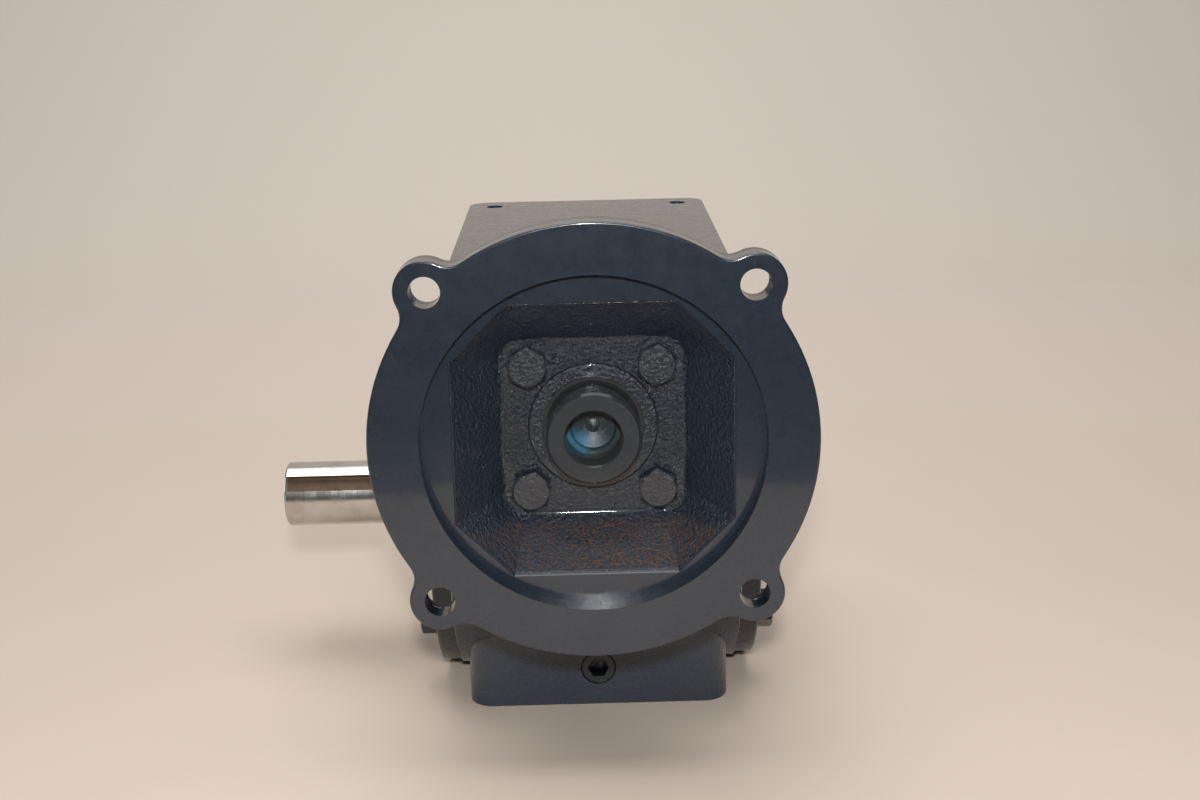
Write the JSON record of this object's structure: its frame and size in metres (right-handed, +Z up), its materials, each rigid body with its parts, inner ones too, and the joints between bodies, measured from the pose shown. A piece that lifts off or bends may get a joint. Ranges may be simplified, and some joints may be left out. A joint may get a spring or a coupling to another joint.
{
  "type": "worm gear speed reducer",
  "caption": "Right-angle worm gear speed reducer: round motor flange with a hollow input quill, boxy cast housing, and a keyed output shaft out of one side.",
  "frame": {"origin": "on the base plane, straight below the point where the input and output axes cross in plan", "axes": "+Z up from the base, -Y out of the motor flange along the input axis, -X along the free end of the output shaft"},
  "size_m": [0.1962, 0.1822, 0.1951],
  "materials": {
    "casting": "slate grey gloss enamel over cast iron",
    "painted_hardware": "the same enamel over steel",
    "seal_steel": "pressed steel",
    "quill_steel": "turned steel, lightly browned",
    "shaft_steel": "ground and polished",
    "plug_zinc": "dull blue passivated",
    "bearing_steel": "ground and polished",
    "cage_steel": "pressed",
    "bronze": "hobbed gear bronze",
    "hub_iron": "turned iron",
    "spring_steel": "plain",
    "shim_steel": "rolled sheet",
    "gasket_fibre": "pressed fibre sheet",
    "seal_rubber": "nitrile"
  },
  "bodies": {
    "case": {"blind_bearing_cup": "bearing_steel", "blind_cover": "casting", "blind_cover_bolts": "painted_hardware", "blind_cover_shims": "shim_steel", "blind_cover_washers": "painted_hardware", "breather_body": "painted_hardware", "breather_cap": "painted_hardware", "flange_bolts": "painted_hardware", "flange_gasket": "gasket_fibre", "front_bearing_outer_race": "bearing_steel", "front_drain_plug": "painted_hardware", "housing": "casting", "input_seal_case": "painted_hardware", "input_seal_lip": "seal_rubber", "level_plug": "painted_hardware", "motor_flange": "casting", "output_bearing_cup": "bearing_steel", "output_cover": "casting", "output_cover_bolts": "painted_hardware", "output_cover_shims": "shim_steel", "output_cover_washers": "painted_hardware", "output_seal_case": "seal_steel", "output_seal_lip": "seal_rubber", "rear_bearing_outer_race": "bearing_steel", "rear_cap": "casting", "rear_cap_bolts": "painted_hardware", "rear_cap_gasket": "gasket_fibre", "rear_drain_plug": "painted_hardware"},
    "worm": {"worm_shaft": "quill_steel", "worm_snap_ring": "spring_steel", "quill_plug": "plug_zinc", "front_bearing_inner_race": "bearing_steel", "rear_bearing_inner_race": "bearing_steel"},
    "output": {"output_shaft": "shaft_steel", "wheel_hub": "hub_iron", "wheel_rim": "bronze", "wheel_key": "spring_steel", "wheel_spacer": "spring_steel", "output_bearing_cone": "bearing_steel", "blind_bearing_cone": "bearing_steel"},
    "front_bearing_set": {"front_bearing_balls": "bearing_steel", "front_bearing_cage": "cage_steel"},
    "rear_bearing_set": {"rear_bearing_balls": "bearing_steel", "rear_bearing_cage": "cage_steel"},
    "output_bearing_set": {"output_bearing_rollers": "bearing_steel", "output_bearing_cage": "cage_steel"},
    "blind_bearing_set": {"blind_bearing_rollers": "bearing_steel", "blind_bearing_cage": "cage_steel"}
  },
  "joints": [
    {"name": "worm_spin", "type": "hinge", "parent": "case", "child": "worm", "pos_m": [0, 0, 0.1209], "axis": [0, 1, 0], "continuous": true},
    {"name": "output_spin", "type": "hinge", "parent": "case", "child": "output", "pos_m": [0, 0, 0.0685], "axis": [1, 0, 0], "continuous": true},
    {"name": "front_bearing_roll", "type": "hinge", "parent": "case", "child": "front_bearing_set", "pos_m": [0, -0.0715, 0.1209], "axis": [0, 1, 0], "continuous": true},
    {"name": "rear_bearing_roll", "type": "hinge", "parent": "case", "child": "rear_bearing_set", "pos_m": [0, 0.0485, 0.1209], "axis": [0, 1, 0], "continuous": true},
    {"name": "output_bearing_roll", "type": "hinge", "parent": "case", "child": "output_bearing_set", "pos_m": [-0.046, 0, 0.0685], "axis": [1, 0, 0], "continuous": true},
    {"name": "blind_bearing_roll", "type": "hinge", "parent": "case", "child": "blind_bearing_set", "pos_m": [0.046, 0, 0.0685], "axis": [1, 0, 0], "continuous": true}
  ],
  "couplings": [
    {"joint": "output_spin", "follows": "worm_spin", "ratio": 0.033333},
    {"joint": "front_bearing_roll", "follows": "worm_spin", "ratio": 0.43247},
    {"joint": "rear_bearing_roll", "follows": "worm_spin", "ratio": 0.38209},
    {"joint": "output_bearing_roll", "follows": "worm_spin", "ratio": 0.014158},
    {"joint": "blind_bearing_roll", "follows": "worm_spin", "ratio": 0.014158}
  ]
}
